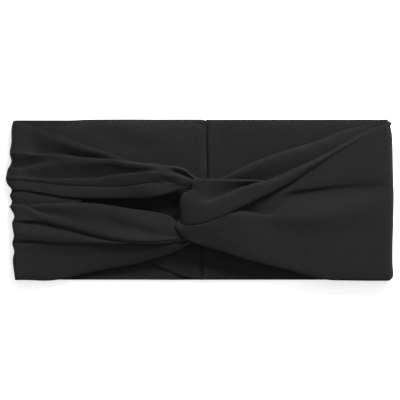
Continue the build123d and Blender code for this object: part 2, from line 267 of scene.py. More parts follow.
RIGHT_FRONT_ARM = (
    ("forehead_edge", (
        (2.2, 13.0, 16.7), (9.5, 12.9, 16.4), (17.5, 12.7, 15.7), (28.0, 12.6, 14.6),
        (34.8, 12.3, 13.8), (40.3, 11.7, 13.0), (47.7, 14.4, 12.4), (55.7, 18.0, 11.8),
        (68.0, 23.4, 10.6), (80.3, 29.5, 9.4), (89.5, 35.0, 8.5), (98.8, 40.1, 7.9), (108.0, 43.9, 7.4),
        (114.8, 46.3, 7.4),
    )),
    ("forehead_ridge", (
        (2.2, 11.9, 17.2), (9.5, 11.8, 16.9), (17.5, 11.6, 16.2), (28.0, 11.6, 15.1),
        (34.8, 11.6, 14.3), (40.3, 11.6, 13.5), (47.7, 14.6, 12.9), (55.7, 18.3, 12.3),
        (68.0, 23.8, 11.1), (80.3, 30.0, 9.9), (89.5, 35.3, 9.0), (98.8, 40.6, 8.3), (108.0, 44.4, 7.9),
        (114.8, 46.8, 7.9),
    )),
    ("strand_valley", (
        (2.2, 0.5, 16.3), (5.8, 0.4, 15.5), (9.5, 1.2, 14.5), (13.8, 2.8, 13.7), (17.5, 4.2, 13.5),
        (21.2, 5.8, 13.2), (24.9, 7.6, 12.9), (31.1, 9.6, 13.2), (36.0, 10.8, 13.8), (40.3, 11.3, 14.4),
        (47.7, 14.4, 13.7), (55.7, 18.0, 13.0), (68.0, 23.4, 11.8), (80.3, 29.5, 10.6),
        (89.5, 35.0, 9.7), (98.8, 40.2, 9.0), (108.0, 44.1, 8.6), (114.8, 46.5, 8.4),
    )),
    ("roll_face", (
        (2.2, -2.1, 17.1), (5.8, -1.8, 16.9), (9.5, -0.4, 16.5), (13.8, 1.8, 16.3), (17.5, 3.3, 16.0),
        (24.9, 7.1, 15.5), (31.1, 9.3, 15.2), (40.3, 10.5, 14.9), (47.7, 13.5, 13.9),
        (55.7, 17.1, 13.2), (68.0, 22.6, 12.0), (80.3, 28.8, 10.7), (89.5, 34.3, 9.8),
        (98.8, 39.6, 9.0), (108.0, 43.7, 8.6), (114.8, 46.2, 8.5),
    )),
    ("roll_ridge", (
        (2.2, -4.9, 17.3), (5.8, -4.8, 17.0), (9.5, -3.9, 16.7), (17.5, -1.2, 16.4), (24.9, 1.6, 15.9),
        (34.2, 5.3, 15.2), (43.4, 9.2, 14.7), (55.7, 14.9, 13.7), (68.0, 21.0, 12.5),
        (80.3, 27.7, 11.1), (89.5, 33.2, 10.2), (98.8, 38.5, 9.4), (108.0, 42.7, 8.9),
        (114.8, 45.2, 8.7),
    )),
    ("roll_edge", (
        (2.2, -13.8, 16.3), (5.8, -12.7, 16.2), (9.5, -11.3, 16.1), (14.5, -9.4, 15.9),
        (20.0, -7.0, 15.4), (24.9, -4.8, 14.9), (31.7, -1.6, 14.2), (37.2, 1.1, 13.6),
        (44.0, 4.3, 13.0), (51.4, 8.3, 12.4), (59.4, 12.8, 11.8), (65.5, 17.2, 11.3),
        (73.5, 22.0, 10.7), (80.9, 26.8, 10.2), (87.7, 31.0, 9.8), (95.1, 35.1, 9.4),
        (101.2, 38.5, 9.1), (108.0, 42.1, 8.9), (114.8, 44.7, 8.7),
    )),
    ("roll_tuck", (
        (2.2, -14.2, 15.6), (5.8, -13.0, 15.5), (9.5, -11.7, 15.4), (14.5, -9.7, 15.0),
        (20.0, -7.1, 14.2), (24.9, -4.2, 12.8), (31.7, -0.4, 11.8), (37.2, 2.5, 11.0),
        (44.0, 5.4, 10.6), (51.4, 8.9, 10.4), (59.4, 12.8, 10.4), (65.5, 16.7, 10.3),
        (73.5, 21.4, 10.0), (80.9, 26.1, 9.7), (87.7, 30.3, 9.4), (95.1, 34.3, 9.2), (101.2, 37.7, 9.0),
        (108.0, 41.2, 8.9), (114.8, 43.7, 8.7),
    )),
    ("pleat_ridge", (
        (2.2, -15.1, 16.0), (5.8, -14.0, 15.9), (9.5, -12.7, 15.8), (14.5, -10.7, 15.5),
        (20.0, -8.1, 14.8), (24.9, -4.8, 12.7), (29.8, -2.7, 11.5), (35.4, -0.7, 10.8),
        (43.4, 2.2, 10.5), (47.7, 3.3, 10.6), (51.4, 4.2, 10.8), (55.7, 5.4, 10.6), (61.8, 6.2, 10.3),
        (68.0, 7.0, 9.8), (80.3, 9.0, 9.2), (90.2, 10.8, 8.9), (102.5, 11.9, 9.0), (109.8, 11.8, 9.2),
        (114.8, 11.1, 9.3),
    )),
    ("pleat_valley", (
        (2.2, -16.1, 15.8), (5.8, -15.1, 15.7), (9.5, -13.8, 15.5), (14.5, -11.8, 15.2),
        (20.0, -9.1, 14.5), (24.9, -5.9, 12.1), (29.8, -7.6, 9.5), (35.4, -8.7, 9.1), (40.3, -9.5, 9.6),
        (44.0, -8.4, 10.0), (47.7, -5.2, 10.0), (51.4, -0.6, 9.6), (55.7, 2.6, 8.8), (61.8, 4.7, 8.3),
        (68.0, 5.1, 7.9), (80.3, 6.2, 7.4), (90.2, 6.6, 7.3), (102.5, 7.1, 7.7), (109.8, 7.8, 8.4),
        (114.8, 7.6, 9.0),
    )),
    ("panel_ridge", (
        (2.2, -17.8, 15.5), (9.5, -15.8, 15.3), (14.5, -13.8, 15.1), (20.0, -11.0, 14.8),
        (24.9, -8.1, 14.0), (29.8, -7.5, 12.6), (35.4, -8.6, 11.6), (40.9, -9.8, 11.1),
        (47.7, -10.5, 11.1), (55.7, -11.1, 11.0), (68.0, -11.1, 10.5), (80.3, -9.6, 10.1),
        (90.2, -6.8, 9.9), (102.5, -3.1, 9.6), (114.8, 0.0, 9.3),
    )),
    ("panel_valley", (
        (2.2, -20.3, 14.9), (9.5, -19.1, 14.6), (17.5, -18.2, 14.0), (24.9, -17.6, 13.2),
        (35.4, -17.7, 11.8), (43.4, -18.5, 10.5), (55.7, -19.3, 9.4), (68.0, -19.7, 9.0),
        (80.3, -19.1, 8.9), (92.6, -17.8, 8.9), (114.8, -17.2, 9.1),
    )),
    ("panel_flat", (
        (2.2, -23.4, 13.9), (9.5, -24.2, 13.5), (17.5, -25.5, 12.9), (24.9, -26.7, 12.2),
        (35.4, -28.7, 11.0), (43.4, -29.9, 9.9), (55.7, -31.4, 8.8), (68.0, -32.6, 8.5),
        (80.3, -33.2, 8.6), (92.6, -33.8, 8.8), (114.8, -33.8, 9.0),
    )),
    ("hairline_ridge", (
        (2.2, -26.7, 12.9), (9.5, -28.8, 12.2), (17.5, -31.1, 11.5), (24.9, -33.7, 10.8),
        (35.4, -36.6, 9.8), (43.4, -38.6, 9.1), (55.7, -41.7, 8.5), (63.1, -43.9, 8.3),
        (71.1, -46.2, 8.3), (80.3, -47.6, 8.4), (92.6, -48.1, 8.5), (114.8, -48.4, 8.6),
    )),
    ("hairline_edge", (
        (2.2, -28.2, 12.2), (9.5, -30.2, 11.5), (17.5, -32.6, 10.9), (24.9, -35.2, 10.2),
        (31.7, -37.2, 9.6), (39.7, -39.3, 8.8), (47.7, -41.4, 8.2), (55.7, -43.4, 7.8),
        (63.1, -45.6, 7.6), (71.1, -47.9, 7.6), (77.2, -49.0, 7.7), (92.6, -49.6, 7.8),
        (114.8, -49.8, 7.9),
    )),
)

# The ends of the arms, and the steps between an arm's rows.
LEFT_FOLD_X = -112.9
LEFT_ARMS_END_X = -1.5
FRONT_ARM_START_X = 2.2
BACK_ARM_START_X = -2.0
RIGHT_FOLD_X = 114.8
ROW_STEP = 1.0
BACK_ARM_ROW_STEP = 1.6

# The back of the band, and the two plies of a flattened tube. The seam line gives x by y. Beside
# it the inner tubes' ends turn down by the dip and the outer ones' turn up by the rise.
BACK_EDGE_Y = 49.3
RIGHT_FOREHEAD_EDGE_Y = BACK_EDGE_Y + 0.4
SEAM_LINE = (
    (-49.5, 0.8), (-40.0, 1.0), (-28.0, 1.5), (0.0, 2.8), (14.0, 4.1), (38.0, 3.7), (49.5, 4.0),
)
SEAM_HALF_GROOVE = 0.06
SEAM_DIP = 1.8
SEAM_RISE = 0.25
SEAM_REACH = 0.95
OUTER_BACK_Z = 0.0
INNER_BACK_Z = 2.0
TUBE = 1.2
RIGHT_BACK_TOP_Z = INNER_BACK_Z + TUBE - 0.7
OUTER_BACK_PUSH_UP = 0.8
BACK_ROWS = 64
LEFT_BACK_LINES = 15
RIGHT_BACK_LINES = 14

# The inner back tube of the left loop narrows towards its side fold, so its hairline edge shows as
# a slanting step at the lower centre. The outer tube's forehead edge narrows under it.
INNER_HAIRLINE_EDGE = (
    (-112.9, -5.0), (-98.0, -7.4), (-73.5, -17.2), (-49.0, -28.9), (-31.4, -37.3), (-17.8, -43.9),
    (-8.3, -47.2), (0.9, -48.4), (6.0, -48.6),
)
OUTER_FOREHEAD_EDGE = (
    (-112.9, -3.0), (-104.0, 12.0), (-92.0, 34.0), (-78.0, 46.0), (-60.0, 48.6), (6.0, 48.8),
)

# The back swells a little along this line, under the hairline edges of both arms. The swelling
# fades in from its start and out again towards its end.
SWELL_LINE = (
    (-34.0, -36.8), (-25.0, -34.4), (-14.5, -30.6), (-5.0, -28.0), (2.2, -28.2), (9.5, -30.0),
    (24.9, -34.4), (39.7, -38.6), (55.7, -42.8), (70.0, -46.6),
)
SWELL = 1.2
SWELL_HALF_WIDTH = 6.0
SWELL_START_X, SWELL_FADE_IN = -42.0, 12.0
SWELL_END_X, SWELL_FADE_OUT = 76.0, 30.0

# One faint wrinkle of the left loop's inner back tube, by its middle and its unit direction.
WRINKLE_X, WRINKLE_Y = -38.0, 37.0
WRINKLE_RUN, WRINKLE_FALL = 0.933, 0.359
WRINKLE_DEPTH = 0.5

# The seam allowance shows through the left loop's inner back tube as a low ridge.
ALLOWANCE_Z = 1.95
ALLOWANCE_X_FROM_SEAM = (-5.6, -0.9)
ALLOWANCE_RIDGE_FROM_SEAM = -4.4
ALLOWANCE_RIDGE = 0.35

# How far each side fold reaches, by y: scalloped on the left, where the pleats turn round, and
# nearly straight on the right. The right loop's inner fold stays inside its outer one.
LEFT_REACH = (
    (-49.6, -113.8), (-45.5, -114.4), (-40.0, -115.2), (-34.6, -115.1), (-31.8, -113.9),
    (-29.6, -115.0), (-26.2, -115.8), (-22.8, -114.5), (-18.0, -115.4), (-13.5, -115.7),
    (-10.3, -114.2), (-7.6, -115.2), (-5.0, -116.8), (-2.6, -116.6), (-1.0, -115.5),
    (1.8, -117.4), (4.2, -116.8), (5.8, -115.4), (8.4, -117.8), (11.6, -119.5),
    (17.4, -118.9), (21.6, -117.4), (23.7, -114.3), (25.2, -116.0), (28.3, -118.3),
    (31.0, -117.2), (35.5, -115.8), (38.7, -116.2), (45.5, -116.0), (49.6, -114.8),
)
RIGHT_REACH = (
    (-49.6, 117.6), (-47.6, 119.6), (-43.0, 119.4), (-32.0, 119.2), (-16.0, 119.6), (2.0, 120.0),
    (19.0, 119.4), (36.0, 119.2), (40.0, 118.9), (44.0, 118.2), (49.6, 117.0),
)
INNER_FOLD_INSET = 2.6

# The right loop's back arm, below the front arm: its forehead edge and the ridge inside it show
# between the front arm and the back of the band. Heights are those of its lower side.
UNDER_FOREHEAD_EDGE = (
    (-2.0, 8.0, 4.8), (8.0, 10.5, 5.4), (16.0, 13.8, 6.2), (23.9, 18.2, 6.4), (33.3, 22.6, 6.4),
    (43.5, 26.5, 6.2), (55.3, 30.7, 5.9), (67.8, 34.4, 5.5), (79.5, 38.8, 5.1), (87.4, 42.2, 4.8),
    (95.2, 44.5, 4.7), (104.9, 46.7, 4.9), (114.8, 48.4, 5.0),
)
UNDER_HAIRLINE_EDGE = (
    (-2.0, -10.0, 4.8), (19.0, -19.0, 4.7), (43.0, -30.0, 4.6), (80.0, -41.0, 4.6),
    (114.8, -48.6, 5.0),
)
UNDER_SHARES = (0.0, 0.025, 0.08, 0.15, 0.22, 0.3, 0.38, 0.46, 0.54, 0.62, 0.71, 0.8, 0.9, 1.0)
UNDER_RIDGE_LIFT = (0.0, 0.8, 1.0, 0.6, 0.1) + (0.0,) * 9

# The right loop's bend. Each fold line of the front arm runs on over the twist's left side, then
# down between the left loop's arms to the back arm.
BEND_OVER = (
    ((-1.2, 13.3, 15.8), (-4.0, 12.8, 14.4), (-3.4, 9.0, 12.6), (-7.4, 1.5, 9.0)),
    ((-1.6, 11.8, 16.8), (-5.2, 10.9, 14.9), (-4.2, 7.5, 12.6), (-7.8, 0.6, 8.8)),
    ((-2.2, 5.6, 16.5), (-5.8, 6.2, 14.8), (-6.0, 4.2, 12.2), (-8.2, -0.4, 8.6)),
    ((-4.6, 0.9, 16.9), (-7.9, 3.2, 15.9), (-9.5, 4.9, 14.2), (-8.6, -1.6, 8.5)),
    ((-5.8, -2.0, 17.0), (-9.2, -0.8, 16.2), (-12.2, 0.6, 14.2), (-9.0, -2.8, 8.4)),
    ((-4.2, -14.8, 16.2), (-8.4, -14.8, 15.7), (-11.4, -13.8, 14.0), (-9.2, -4.6, 8.4)),
    ((-4.2, -15.2, 15.6), (-8.4, -15.2, 15.2), (-11.6, -14.6, 13.8), (-9.2, -5.4, 8.4)),
    ((-4.2, -16.2, 15.9), (-8.6, -16.4, 15.4), (-13.0, -15.6, 13.8), (-9.2, -6.2, 8.4)),
    ((-4.2, -17.3, 15.7), (-9.0, -17.6, 15.2), (-14.6, -16.7, 13.7), (-9.2, -6.9, 8.4)),
    ((-4.2, -18.8, 15.5), (-9.0, -18.8, 15.1), (-14.1, -17.9, 13.9), (-9.2, -7.6, 8.4)),
    ((-4.2, -20.3, 15.1), (-8.4, -20.1, 14.9), (-12.9, -19.4, 13.9), (-9.0, -8.3, 8.4)),
    ((-2.8, -22.5, 14.5), (-6.6, -21.9, 14.6), (-11.2, -21.5, 13.9), (-8.8, -9.0, 8.4)),
    ((-1.6, -25.6, 13.5), (-4.8, -24.9, 14.0), (-8.7, -23.7, 13.7), (-8.6, -9.6, 8.4)),
    ((-0.9, -27.0, 12.8), (-3.6, -26.2, 13.5), (-6.2, -25.2, 13.5), (-8.4, -10.2, 8.4)),
)

# How finely the cloth is divided, how full its side folds and the left bend are, and how long its
# ripples are along the tube and across it.
COLUMNS_PER_FOLD = 6
FOLD_ROWS = 16
BEND_ROWS = 26
FOLD_FULLNESS = 0.8
LEFT_BEND_FULLNESS = 0.55
RIPPLE_LENGTHS = (19.0, 6.5)

# The thread: how thick a stitch is, the heights of the seam's two rows, and the loose tacks beside
# the seam's hairline end by their distance from the seam and y.
THREAD = 0.42
OVERLOCK_THREAD = 0.36
SEAM_STITCH_HEIGHTS = (1.3, 2.1)
SEAM_STITCH_LEAN = 5.0
SEAM_STITCH_START_Y = -48.4
SEAM_END_Y = 48.6
TACKS = ((0.6, -48.2), (1.7, -47.9), (2.6, -48.3), (1.1, -47.1), (2.2, -46.9))
TACK_LENGTH = 1.1
TACK_Z = 2.6

# The closing seams lie between the back tubes. Each repeat has a needle stitch and two loopers.
CLOSING_SEAM_Z = 1.45
CLOSING_PITCH_SHARE = 0.6
LOOPER_OFFSET = -1.1
LOOPER_LENGTH = 2.4
LOOPER_LEAN = 62.0
LEFT_CLOSING_ABOVE_EDGE = 7.0
RIGHT_CLOSING_Y = -42.5

# The stage, in metres.
AIM_HEIGHT = 0.008
FLOOR_GAP = 0.0002
FLOOR_HALF_WIDTH = 4.0
KEY_LIGHT_PLACE = (0.40, 0.84, 0.56)
KEY_LIGHT_SIZE = (0.6, 0.26)
CAMERA_X = 0.0003


def smooth_curve(points, at):
    """Values of a smooth curve through points (x, a, b...) at each place, held beyond its ends."""
    table = np.array(points, float)
    table = table[np.argsort(table[:, 0])]
    x, values = table[:, 0], table[:, 1:]
    at = np.clip(at, x[0], x[-1])
    gaps = np.diff(x)
    slopes = np.diff(values, axis=0) / gaps[:, None]
    tangents = np.empty_like(values)
    tangents[0], tangents[-1] = slopes[0], slopes[-1]
    total = (gaps[:-1] + gaps[1:])[:, None]
    tangents[1:-1] = (slopes[:-1] * gaps[1:, None] + slopes[1:] * gaps[:-1, None]) / total
    span = np.clip(np.searchsorted(x, at, side="right") - 1, 0, len(gaps) - 1)
    width = gaps[span][:, None]
    t = (at - x[span])[:, None] / width
    rise, dip = t * t * (3 - 2 * t), t * t * (t - 1)
    lead = t * (1 - t) * (1 - t)
    joined = values[span] * (1 - rise) + values[span + 1] * rise
    return joined + width * (tangents[span] * lead + tangents[span + 1] * dip)


def curve_value(points, at):
    """The one value of a smooth curve through points (x, value) at each place in at."""
    return smooth_curve(points, at)[:, 0]


def fold_rows(lines, places):
    """Points of an arm's fold lines at each x, as an array of row, line and coordinate."""
    rails = []
    for _, points in lines:
        rails.append(np.column_stack([places, smooth_curve(points, places)]))
    return np.stack(rails, axis=1)


def fill_across(rows, columns=COLUMNS_PER_FOLD):
    """Fills each row between its lines with a centripetal curve, which keeps tight pleats clean."""
    first = 2 * rows[:, :1] - rows[:, 1:2]
    last = 2 * rows[:, -1:] - rows[:, -2:-1]
    points = np.concatenate([first, rows, last], axis=1)
    steps = np.sqrt(np.linalg.norm(np.diff(points, axis=1), axis=2) + 1e-6)[..., None]
    before, here, after = steps[:, :-2], steps[:, 1:-1], steps[:, 2:]
    p0, p1, p2, p3 = points[:, :-3], points[:, 1:-2], points[:, 2:-1], points[:, 3:]
    leave = (p1 - p0) / before - (p2 - p0) / (before + here) + (p2 - p1) / here
    arrive = (p2 - p1) / here - (p3 - p1) / (here + after) + (p3 - p2) / after
    leave, arrive = leave * here, arrive * here
    filled = []
    for step in range(columns):
        t = step / columns
        filled.append(
            (2 * t**3 - 3 * t**2 + 1) * p1 + (t**3 - 2 * t**2 + t) * leave
            + (3 * t**2 - 2 * t**3) * p2 + (t**3 - t**2) * arrive
        )
    dense = np.stack(filled, axis=2).reshape(len(rows), -1, 3)
    return np.concatenate([dense, rows[:, -1:]], axis=1)


def ease(share):
    """A smooth step from 0 to 1."""
    share = np.clip(share, 0.0, 1.0)
    return share * share * (3 - 2 * share)


def turn_over(front, back, reach, rows=FOLD_ROWS):
    """Rows of a side fold, from the front row over to the back row, as far out as reach says."""
    turned = []
    for row in range(1, rows):
        angle = math.pi * row / rows
        share = (1 - math.cos(angle)) / 2
        y = front[:, 1] + (back[:, 1] - front[:, 1]) * ease(share)
        z = front[:, 2] + (back[:, 2] - front[:, 2]) * share
        start = front[:, 0] + (back[:, 0] - front[:, 0]) * share
        outermost = curve_value(reach, y)
        x = start + (outermost - start) * math.sin(angle) ** FOLD_FULLNESS
        turned.append(np.column_stack([x, y, z]))
    return np.array(turned)


def seam_x(y):
    """Where the centre-back seam lies at each distance across the band."""
    return curve_value(SEAM_LINE, y)


def straight_edge(y):
    """An edge of a back tube that keeps to one y."""
    return lambda x: np.full(len(x), y)


def curved_edge(points):
    """An edge of a back tube that follows a curve through points (x, y)."""
    return lambda x: curve_value(points, x)


def back_rows(side, first_edge, second_edge, height, fold_x, seam_lift, lines, lowest=0.0):
    """Rows of one back tube, from the seam to the side fold, between two edges given by x.

    height gives its outline by x, y and the distances to its two edges. seam_lift is how far its
    end turns up (or, below nought, down) into the centre-back seam, but it stays above lowest.
    The rows stand closer together towards the seam.
    """
    shares = 0.5 - 0.5 * np.cos(np.linspace(0.0, math.pi, lines))
    result = []
    for row in range(BACK_ROWS):
        along = (row / (BACK_ROWS - 1)) ** 1.9
        guide = np.full(lines, along * fold_x)
        y = first_edge(guide) * (1 - shares) + second_edge(guide) * shares
        start = seam_x(y) + side * SEAM_HALF_GROOVE
        x = start + (fold_x - start) * along
        first, second = first_edge(x), second_edge(x)
        y = first * (1 - shares) + second * shares
        z = height(x, y, first - y, y - second)
        turned_in = seam_lift * np.exp(-(((x - start) / SEAM_REACH) ** 2))
        result.append(np.column_stack([x, y, np.maximum(z + turned_in, lowest)]))
    return np.array(result)


def soften(rows, rounds=2):
    """Evens out the cloth a little along and across, and leaves its edges in place."""
    for _ in range(rounds):
        rows[1:-1] = rows[1:-1] / 2 + (rows[:-2] + rows[2:]) / 4
        rows[:, 1:-1] = rows[:, 1:-1] / 2 + (rows[:, :-2] + rows[:, 2:]) / 4
    return rows


def cloth_distances(rows):
    """How far each row lies along the tube, and each point across it, measured on the cloth."""
    lengths = np.linalg.norm(np.diff(rows, axis=0), axis=2).mean(axis=1)
    widths = np.linalg.norm(np.diff(rows, axis=1), axis=2)
    along = np.concatenate([[0.0], np.cumsum(lengths)])
    over = np.concatenate([np.zeros((len(rows), 1)), np.cumsum(widths, axis=1)], axis=1)
    return along, over


def row_normals(rows):
    """Unit normals of the grid of points."""
    along = np.gradient(rows, axis=0)
    over = np.gradient(rows, axis=1)
    normals = np.cross(over, along)
    length = np.linalg.norm(normals, axis=2, keepdims=True)
    return normals / np.maximum(length, 1e-9)


def ruffle(rows, depth, stretch, seed):
    """Small uneven ripples, longer along the tube than across it."""
    along, over = cloth_distances(rows)
    lift = np.zeros(rows.shape[:2])
    for row in range(rows.shape[0]):
        for column in range(rows.shape[1]):
            place = Vector((along[row] / stretch[0], over[row, column] / stretch[1], seed))
            lift[row, column] = noise.noise(place) + 0.4 * noise.noise(place * 2.3)
    return rows + row_normals(rows) * (lift * depth)[..., None]


def add_object(name, mesh, material):
    """Turns mesh into an object of the scene, in one material."""
    data = bpy.data.meshes.new(name)
    mesh.to_mesh(data)
    mesh.free()
    data.materials.append(material)
    added = bpy.data.objects.new(name, data)
    bpy.context.scene.collection.objects.link(added)
    return added


def cloth_piece(name, rows, material):
    """A sheet through the rows of points: a grid shaped to them, given the tube's thickness."""
    count, columns = rows.shape[:2]
    mesh = bmesh.new()
    bmesh.ops.create_grid(mesh, x_segments=columns - 1, y_segments=count - 1, size=0.5)
    along, over = cloth_distances(rows)
    knit = mesh.loops.layers.uv.new("Knit")
    places = {}
    for vertex in mesh.verts:
        column = round((vertex.co.x + 0.5) * (columns - 1))
        row = round((vertex.co.y + 0.5) * (count - 1))
        places[vertex] = (row, column)
    for vertex, (row, column) in places.items():
        vertex.co = Vector(rows[row, column]) * MM
    for face in mesh.faces:
        face.smooth = True
        for loop in face.loops:
            row, column = places[loop.vert]
            loop[knit].uv = (along[row] * MM, over[row, column] * MM)
    piece = add_object(name, mesh, material)
    wall = piece.modifiers.new("Two plies", "SOLIDIFY")
    wall.thickness = TUBE * MM
    wall.offset = -1.0
    wall.use_quality_normals = True
    rim = piece.modifiers.new("Folded edge", "BEVEL")
    rim.width = 0.5 * MM
    rim.segments = 3
    rim.profile = 0.5
    rim.limit_method = "ANGLE"
    rim.angle_limit = math.radians(70)
    return piece


def rounded_rim(from_edge, drop=1.0, reach=3.0):
    """How much lower a tube lies close to its folded edge."""
    return drop * np.exp(-np.maximum(from_edge, 0.0) / reach)


def back_swell(x, y):
    """How far the inner back tubes swell up towards the arms."""
    crest = curve_value(SWELL_LINE, x)
    share = ease((x - SWELL_START_X) / SWELL_FADE_IN) * ease((SWELL_END_X - x) / SWELL_FADE_OUT)
    return SWELL * share * np.exp(-(((y - crest) / SWELL_HALF_WIDTH) ** 2))


def left_inner_height(x, y, from_forehead, from_hairline):
    """Lower side of the left loop's inner back tube: on the outer tube, or on the floor beyond it."""
    rest = ease((y - curve_value(OUTER_FOREHEAD_EDGE, x) + 6.0) / 12.0)
    level = INNER_BACK_Z * (1 - rest) + 0.4 * rest
    across = (x - WRINKLE_X) * WRINKLE_FALL + (y - WRINKLE_Y) * WRINKLE_RUN
    along = (x - WRINKLE_X) * WRINKLE_RUN - (y - WRINKLE_Y) * WRINKLE_FALL
    fade = np.exp(-((across / 12.0) ** 2) - (along / 34.0) ** 2)
    wrinkle = WRINKLE_DEPTH * np.sin(across * math.pi / 11.0) * fade
    from_ridge = x - seam_x(y) - ALLOWANCE_RIDGE_FROM_SEAM
    allowance = ALLOWANCE_RIDGE * np.exp(-((from_ridge / 1.7) ** 2))
    rims = rounded_rim(from_forehead) + rounded_rim(from_hairline, 0.75, 6.0)
    return level + back_swell(x, y) + wrinkle + allowance - rims


def right_inner_height(x, y, from_forehead, from_hairline):
    """Upper side of the right loop's inner back tube, a touch proud beside the seam."""
    proud = 0.45 * np.exp(-(((x - seam_x(y)) / 9.0) ** 2))
    slant = 0.05 * np.clip(y - 20.0, 0.0, 26.0) * ease((x - 6.0) / 20.0)
    rims = rounded_rim(from_forehead) + rounded_rim(from_hairline)
    return RIGHT_BACK_TOP_Z + slant + proud + back_swell(x, y) - rims


def outer_height(x, y, from_forehead, from_hairline):
    """Lower side of an outer back tube, flat on what the band lies on."""
    return np.full(len(x), OUTER_BACK_Z)


def left_outer_height(x, y, from_forehead, from_hairline):
    """Lower side of the left loop's outer back tube, pushed up where the inner tube's edge ends."""
    beyond = curve_value(INNER_HAIRLINE_EDGE, x) - y
    share = ease((-8.0 - x) / 10.0)
    outside = np.exp(-beyond / 5.0)
    beneath = np.exp(-((beyond / 1.2) ** 2))
    return OUTER_BACK_Z + OUTER_BACK_PUSH_UP * share * np.where(beyond > 0, outside, beneath)


def left_loop_rows():
    """The left loop's path: inner back, side fold, upper arm, bend, lower arm, fold, outer back."""
    places = np.arange(LEFT_FOLD_X, LEFT_ARMS_END_X + 0.01, ROW_STEP)
    upper = fill_across(fold_rows(LEFT_UPPER_ARM, places))
    lower = fill_across(fold_rows(LEFT_LOWER_ARM, places[::-1]))
    inner = fill_across(back_rows(
        -1, straight_edge(BACK_EDGE_Y), curved_edge(INNER_HAIRLINE_EDGE), left_inner_height,
        LEFT_FOLD_X, -SEAM_DIP, LEFT_BACK_LINES))
    outer = fill_across(back_rows(
        -1, curved_edge(OUTER_FOREHEAD_EDGE), straight_edge(-BACK_EDGE_Y), left_outer_height,
        LEFT_FOLD_X, SEAM_RISE, LEFT_BACK_LINES))[:, ::-1]
    upper_fold = turn_over(upper[0], inner[-1], LEFT_REACH)[::-1]
    lower_fold = turn_over(lower[-1], outer[-1], LEFT_REACH)
    bend = []
    for row in range(1, BEND_ROWS):
        angle = math.pi * row / BEND_ROWS
        share = (1 - math.cos(angle)) / 2
        point = upper[-1] * (1 - share) + lower[0] * share
        swing = np.abs(upper[-1, :, 1] - lower[0, :, 1]) / 2
        point[:, 0] += LEFT_BEND_FULLNESS * swing * math.sin(angle)
        bend.append(point)
    return np.concatenate([inner, upper_fold, upper, np.array(bend), lower, lower_fold, outer[::-1]])


def under_arm_rows(places):
    """The right loop's back arm, by the height of its lower side."""
    first = smooth_curve(UNDER_FOREHEAD_EDGE, places)
    second = smooth_curve(UNDER_HAIRLINE_EDGE, places)
    lines = []
    for share, lift in zip(UNDER_SHARES, UNDER_RIDGE_LIFT):
        y = first[:, 0] * (1 - share) + second[:, 0] * share
        z = first[:, 1] * (1 - ease(share * 4)) + second[:, 1] * ease(share * 4)
        fade = ease((RIGHT_FOLD_X - places) / 30.0)
        lines.append(np.column_stack([places, y, z + lift * fade]))
    return np.stack(lines, axis=1)


def bend_rows(front, under):
    """Rows of the right loop's bend, from the back arm's end up and over to the front arm's start."""
    rails = []
    for line, (over, side, inside, below) in enumerate(BEND_OVER):
        stops = np.array([under[line], below, inside, side, over, front[line]])
        gaps = np.linalg.norm(np.diff(stops, axis=0), axis=1)
        along = np.concatenate([[0.0], np.cumsum(gaps)])
        table = np.column_stack([along, stops])
        rails.append(smooth_curve(table, np.linspace(0.0, along[-1], BEND_ROWS + 1)))
    return np.stack(rails, axis=1)[1:-1]


def right_loop_rows():
    """The right loop's path: inner back, side fold, back arm, bend, front arm, fold, outer back."""
    forehead = straight_edge(RIGHT_FOREHEAD_EDGE_Y)
    hairline = straight_edge(-BACK_EDGE_Y)
    front_places = np.arange(FRONT_ARM_START_X, RIGHT_FOLD_X + 0.01, ROW_STEP)
    under_places = np.arange(BACK_ARM_START_X, RIGHT_FOLD_X + 0.01, BACK_ARM_ROW_STEP)[::-1]
    front = fold_rows(RIGHT_FRONT_ARM, front_places)
    under = under_arm_rows(under_places)
    bend = bend_rows(front[0], under[-1])
    inner = fill_across(back_rows(
        1, forehead, hairline, right_inner_height, RIGHT_FOLD_X, -SEAM_DIP, RIGHT_BACK_LINES, TUBE))
    outer = fill_across(back_rows(
        1, forehead, hairline, outer_height, RIGHT_FOLD_X, SEAM_RISE, RIGHT_BACK_LINES))
    front, under, bend = fill_across(front), fill_across(under), fill_across(bend)
    inner_reach = tuple((y, x - INNER_FOLD_INSET) for y, x in RIGHT_REACH)
    inner_fold = turn_over(under[0], inner[-1], inner_reach)[::-1]
    outer_fold = turn_over(front[-1], outer[-1], RIGHT_REACH)
    return np.concatenate([inner, inner_fold, under, bend, front, outer_fold, outer[::-1]])


class Wire:
    """A value or colour in a material's node tree, which Python's operators add nodes to."""

    def __init__(self, tree, socket):
        self.tree = tree
        self.socket = socket

    def math(self, operation, *others):
        node = self.tree.nodes.new("ShaderNodeMath")
        node.operation = operation
        for index, value in enumerate((self,) + others):
            if isinstance(value, Wire):
                self.tree.links.new(value.socket, node.inputs[index])
            else:
                node.inputs[index].default_value = value
        return Wire(self.tree, node.outputs[0])

    def __add__(self, other):
        return self.math("ADD", other)

    def __mul__(self, other):
        return self.math("MULTIPLY", other)

    def __sub__(self, other):
        return self.math("SUBTRACT", other)

    def other_output(self, index):
        """Another output of the node that this wire leaves."""
        return Wire(self.tree, self.socket.node.outputs[index])


